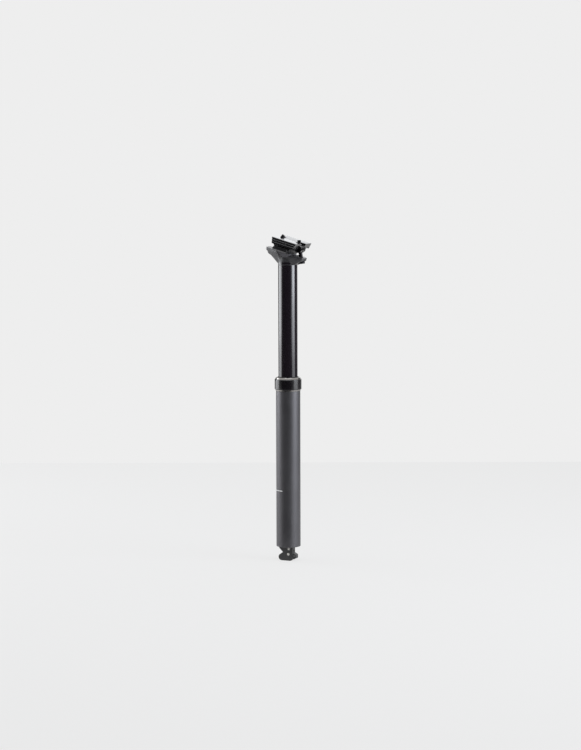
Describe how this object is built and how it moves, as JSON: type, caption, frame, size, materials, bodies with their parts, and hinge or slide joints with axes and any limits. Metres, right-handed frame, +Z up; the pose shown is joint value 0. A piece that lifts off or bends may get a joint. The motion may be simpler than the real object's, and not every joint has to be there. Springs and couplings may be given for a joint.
{
  "type": "dropper seatpost",
  "caption": "Height-adjustable bicycle seatpost: a stanchion with a tilting rail clamp slides in an outer tube on a sealed gas cartridge, released by a lever under the tube.",
  "frame": {"origin": "on the post's axis at the lower end of the outer tube", "axes": "+Z up the post, +X to the front of the bicycle, +Y to its left"},
  "size_m": [0.0526, 0.0538, 0.4246],
  "materials": {
    "tube_anodised": "satin hard anodised, anthracite",
    "collar_anodised": "semi-gloss black anodised",
    "stanchion_anodised": "polished black hard anodised",
    "head_forged": "bead-blasted black anodised",
    "clamp_anodised": "glossy black anodised",
    "rubber": "moulded nitrile rubber",
    "bushing_polymer": "self-lubricating polymer",
    "plug_anodised": "matte black anodised",
    "bright_steel": "ground bright steel",
    "plated_steel": "black zinc plated steel",
    "cartridge_metal": "machined",
    "brass": "machined brass"
  },
  "bodies": {
    "outer_post": {"outer_tube": "tube_anodised", "seal_collar": "collar_anodised", "collar_o_ring": "rubber", "wiper_seal": "rubber", "upper_bushing": "bushing_polymer", "base_plug": "plug_anodised", "base_plug_o_ring": "rubber", "piston_rod": "bright_steel", "rod_lock_nut": "plated_steel", "piston": "brass", "piston_seal": "rubber", "actuator_bracket": "plug_anodised", "bracket_pin": "bright_steel", "lever_pivot_pin": "bright_steel"},
    "inner_post": {"stanchion": "stanchion_anodised", "head": "head_forged", "lower_bushing": "bushing_polymer", "guide_keys": "brass", "top_out_bumper": "rubber", "gas_cylinder": "cartridge_metal", "cylinder_gland": "cartridge_metal", "rod_seal": "rubber", "cartridge_circlip": "bright_steel", "cylinder_cap": "cartridge_metal", "gas_valve": "brass"},
    "saddle_clamp": {"lower_cradle": "head_forged", "upper_clamp": "clamp_anodised"},
    "front_nut": {"front_barrel_nut": "plated_steel"},
    "rear_nut": {"rear_barrel_nut": "plated_steel"},
    "front_clamp_bolt": {"front_bolt": "plated_steel", "front_washer": "plated_steel"},
    "rear_clamp_bolt": {"rear_bolt": "plated_steel", "rear_washer": "plated_steel"},
    "separator_piston": {"floating_piston": "cartridge_metal", "floating_piston_seal": "rubber"},
    "release": {"release_lever": "plug_anodised"},
    "valve": {"valve_pin": "bright_steel"}
  },
  "joints": [
    {"name": "post_drop", "type": "slide", "parent": "outer_post", "child": "inner_post", "axis": [0, 0, 1], "range_m": [-0.14, 0], "stiffness_N_per_m": 250, "springref_m": 0.3},
    {"name": "saddle_tilt", "type": "hinge", "parent": "inner_post", "child": "saddle_clamp", "pos_m": [0.002, 0, 0.3904], "axis": [0, 1, 0], "range_deg": [-6, 6]},
    {"name": "front_bolt_rock", "type": "hinge", "parent": "inner_post", "child": "front_clamp_bolt", "pos_m": [0.0199, 0, 0.36503], "axis": [0, 1, 0], "range_deg": [-1.6, 1.6]},
    {"name": "front_nut_turn", "type": "hinge", "parent": "saddle_clamp", "child": "front_nut", "pos_m": [0.01722, 0, 0.38687], "axis": [0, 1, 0], "range_deg": [-7.7, 7.7]},
    {"name": "rear_bolt_rock", "type": "hinge", "parent": "inner_post", "child": "rear_clamp_bolt", "pos_m": [-0.02662, 0, 0.37837], "axis": [0, 1, 0], "range_deg": [-1.6, 1.6]},
    {"name": "rear_nut_turn", "type": "hinge", "parent": "saddle_clamp", "child": "rear_nut", "pos_m": [-0.01277, 0, 0.39547], "axis": [0, 1, 0], "range_deg": [-7.7, 7.7]},
    {"name": "separator_slide", "type": "slide", "parent": "inner_post", "child": "separator_piston", "axis": [0, 0, 1], "range_m": [0, 0.016]},
    {"name": "lever_pull", "type": "hinge", "parent": "outer_post", "child": "release", "pos_m": [0.0027, 0, -0.01], "axis": [0, 1, 0], "range_deg": [0, 22]},
    {"name": "valve_push", "type": "slide", "parent": "outer_post", "child": "valve", "axis": [0, 0, 1], "range_m": [0, 0.00092], "stiffness_N_per_m": 100, "springref_m": -0.001}
  ],
  "couplings": [
    {"joint": "front_bolt_rock", "follows": "saddle_tilt", "ratio": -0.2436},
    {"joint": "rear_bolt_rock", "follows": "saddle_tilt", "ratio": -0.2436},
    {"joint": "front_nut_turn", "follows": "saddle_tilt", "ratio": -1.2436},
    {"joint": "rear_nut_turn", "follows": "saddle_tilt", "ratio": -1.2436},
    {"joint": "separator_slide", "follows": "post_drop", "ratio": -0.11111},
    {"joint": "lever_pull", "follows": "valve_push", "rad_per_m": 415}
  ]
}
